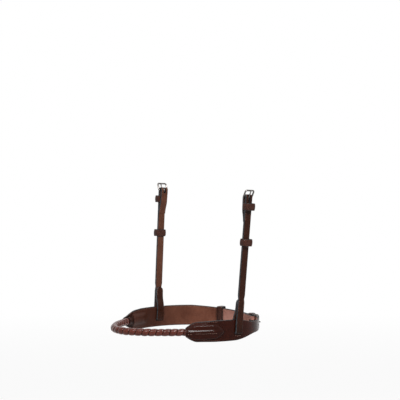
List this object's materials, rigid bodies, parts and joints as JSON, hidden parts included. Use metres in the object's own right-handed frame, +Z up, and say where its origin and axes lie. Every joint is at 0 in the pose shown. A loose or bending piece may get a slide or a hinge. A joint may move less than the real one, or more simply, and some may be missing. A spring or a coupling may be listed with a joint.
{
  "type": "bridle noseband",
  "caption": "Leather bridle noseband with a twisted rope nose, two padded swell bands, a buckled jaw strap and buckled cheek straps with keepers.",
  "frame": {"origin": "midway between the heel bars of the two cheek buckles, where the billets of the headpiece carry the noseband", "axes": "+X to the horse's left, the near side, +Y from the nose to the jaw buckle, +Z up along the cheek straps"},
  "size_m": [0.2352, 0.2457, 0.2283],
  "materials": {
    "bridle_leather": "satin",
    "lining_leather": "matte",
    "rope_leather": "satin",
    "core_cord": "matte",
    "filler_felt": "matte",
    "buckle_metal": "polished"
  },
  "bodies": {
    "noseband": {"nose_rope_core": "core_cord", "nose_rope_cover": "rope_leather", "near_band": "bridle_leather", "far_band": "bridle_leather", "near_band_lining": "lining_leather", "far_band_lining": "lining_leather", "near_pad_filler": "filler_felt", "far_pad_filler": "filler_felt", "near_cheek_strap": "bridle_leather", "far_cheek_strap": "bridle_leather", "near_cheek_fixed_keeper": "bridle_leather", "far_cheek_fixed_keeper": "bridle_leather", "rear_fixed_keeper": "bridle_leather"},
    "near_cheek_buckle": {"near_cheek_buckle_frame": "buckle_metal"},
    "near_cheek_tongue": {"near_cheek_buckle_tongue": "buckle_metal"},
    "near_cheek_keeper": {"near_cheek_running_keeper": "bridle_leather"},
    "far_cheek_buckle": {"far_cheek_buckle_frame": "buckle_metal"},
    "far_cheek_tongue": {"far_cheek_buckle_tongue": "buckle_metal"},
    "far_cheek_keeper": {"far_cheek_running_keeper": "bridle_leather"},
    "rear_buckle": {"rear_buckle_frame": "buckle_metal"},
    "rear_tongue": {"rear_buckle_tongue": "buckle_metal"},
    "rear_keeper": {"rear_running_keeper": "bridle_leather"}
  },
  "joints": [
    {"name": "near_cheek_buckle_hinge", "type": "hinge", "parent": "noseband", "child": "near_cheek_buckle", "pos_m": [0.10672, 0, 0], "axis": [-0.015, 0.9974, -0.0709], "range_deg": [-45, 15]},
    {"name": "near_cheek_tongue_hinge", "type": "hinge", "parent": "near_cheek_buckle", "child": "near_cheek_tongue", "pos_m": [0.10672, 0, 0], "axis": [-0.015, 0.9974, -0.0709], "range_deg": [0, 90]},
    {"name": "near_cheek_keeper_slide", "type": "slide", "parent": "noseband", "child": "near_cheek_keeper", "axis": [0.0303, 0.0714, 0.997], "range_m": [-0.07, 0.022]},
    {"name": "far_cheek_buckle_hinge", "type": "hinge", "parent": "noseband", "child": "far_cheek_buckle", "pos_m": [-0.10672, 0, 0], "axis": [-0.015, -0.9974, 0.0709], "range_deg": [-45, 15]},
    {"name": "far_cheek_tongue_hinge", "type": "hinge", "parent": "far_cheek_buckle", "child": "far_cheek_tongue", "pos_m": [-0.10672, 0, 0], "axis": [-0.015, -0.9974, 0.0709], "range_deg": [0, 90]},
    {"name": "far_cheek_keeper_slide", "type": "slide", "parent": "noseband", "child": "far_cheek_keeper", "axis": [-0.0303, 0.0714, 0.997], "range_m": [-0.07, 0.022]},
    {"name": "rear_buckle_hinge", "type": "hinge", "parent": "noseband", "child": "rear_buckle", "pos_m": [0.03907, 0.06605, -0.20028], "axis": [0, 0, 1], "range_deg": [0, 3]},
    {"name": "rear_tongue_hinge", "type": "hinge", "parent": "rear_buckle", "child": "rear_tongue", "pos_m": [0.03907, 0.06605, -0.20028], "axis": [0, 0, 1], "range_deg": [0, 4]},
    {"name": "rear_keeper_slide", "type": "hinge", "parent": "noseband", "child": "rear_keeper", "pos_m": [-0.00005, -0.03629, -0.20028], "axis": [0, 0, -1], "range_deg": [-1.5, 20.5]}
  ]
}
